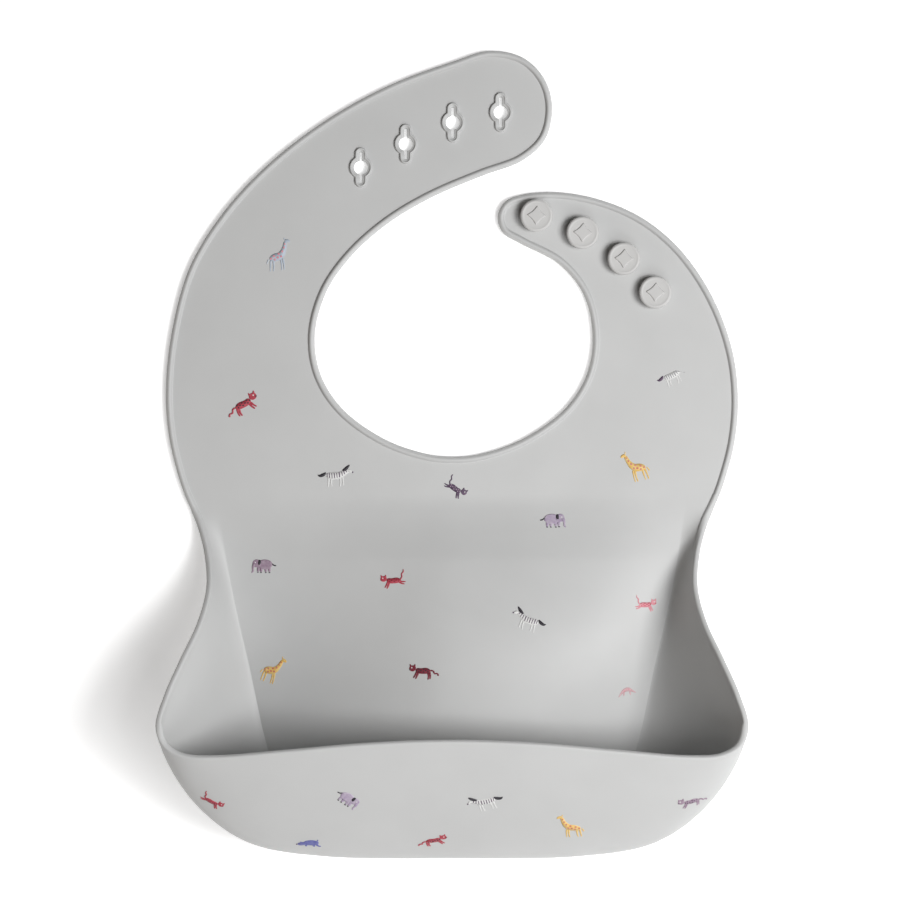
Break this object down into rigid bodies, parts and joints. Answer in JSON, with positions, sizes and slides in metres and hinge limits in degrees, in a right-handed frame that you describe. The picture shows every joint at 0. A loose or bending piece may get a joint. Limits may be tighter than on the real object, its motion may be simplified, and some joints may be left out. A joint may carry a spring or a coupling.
{
  "type": "silicone baby bib",
  "caption": "Moulded silicone bib with a scoop-shaped catch pocket, a beaded edge, and two neck straps that close with mushroom buttons in keyhole buttonholes.",
  "frame": {"origin": "on the surface the bib lies on, under the middle of its bounding box", "axes": "+X to the side of the button strap, +Y up the bib from the pocket to the strap ends, +Z out of the front face"},
  "size_m": [0.2118, 0.2973, 0.0544],
  "materials": {
    "silicone": "satin food-grade silicone, warm light grey, soft sheen",
    "button_silicone": "satin silicone, a little lighter and warmer than the sheet"
  },
  "bodies": {
    "bib_body": {"yoke": "silicone", "chest_panel": "silicone", "pocket_floor": "silicone", "pocket_side_left": "silicone", "pocket_side_right": "silicone"},
    "pocket_wall": {"pocket_front": "silicone"},
    "hole_strap_lower": {"hole_strap_root": "silicone"},
    "hole_strap_mid": {"hole_strap_middle": "silicone"},
    "hole_strap_tip": {"hole_strap_end": "silicone", "buttonhole_eyelet_1": "silicone", "buttonhole_eyelet_2": "silicone", "buttonhole_eyelet_3": "silicone", "buttonhole_eyelet_4": "silicone"},
    "button_strap_lower": {"button_strap_root": "silicone"},
    "button_strap_tip": {"button_strap_end": "silicone", "button_stud_1": "button_silicone", "button_stud_2": "button_silicone", "button_stud_3": "button_silicone", "button_stud_4": "button_silicone"}
  },
  "joints": [
    {"name": "pocket_flex", "type": "hinge", "parent": "bib_body", "child": "pocket_wall", "pos_m": [0, -0.14, 0.002], "axis": [1, 0, 0], "range_deg": [-22, 12], "stiffness_Nm_per_rad": 0.6, "deforming": ["pocket_floor", "pocket_side_left", "pocket_side_right"]},
    {"name": "hole_strap_bend", "type": "hinge", "parent": "bib_body", "child": "hole_strap_lower", "pos_m": [-0.0719, 0.0256, 0.0009], "axis": [0.9659, 0.2588, 0], "range_deg": [-40, 40], "stiffness_Nm_per_rad": 0.08},
    {"name": "hole_strap_middle_bend", "type": "hinge", "parent": "hole_strap_lower", "child": "hole_strap_mid", "pos_m": [-0.0704, 0.0694, 0.0009], "axis": [0.9455, -0.3256, 0], "range_deg": [-40, 40], "stiffness_Nm_per_rad": 0.08},
    {"name": "hole_strap_end_bend", "type": "hinge", "parent": "hole_strap_mid", "child": "hole_strap_tip", "pos_m": [-0.0446, 0.1049, 0.0009], "axis": [0.6018, -0.7986, 0], "range_deg": [-40, 40], "stiffness_Nm_per_rad": 0.08},
    {"name": "button_strap_bend", "type": "hinge", "parent": "bib_body", "child": "button_strap_lower", "pos_m": [0.07, 0.0169, 0.0009], "axis": [0.9272, -0.3746, 0], "range_deg": [-40, 40], "stiffness_Nm_per_rad": 0.08},
    {"name": "button_strap_end_bend", "type": "hinge", "parent": "button_strap_lower", "child": "button_strap_tip", "pos_m": [0.0754, 0.0489, 0.0009], "axis": [0.9986, 0.0523, 0], "range_deg": [-40, 40], "stiffness_Nm_per_rad": 0.08}
  ],
  "couplings": [
    {"joint": "hole_strap_middle_bend", "follows": "hole_strap_bend", "ratio": 1},
    {"joint": "hole_strap_end_bend", "follows": "hole_strap_bend", "ratio": 1},
    {"joint": "button_strap_end_bend", "follows": "button_strap_bend", "ratio": 1}
  ]
}
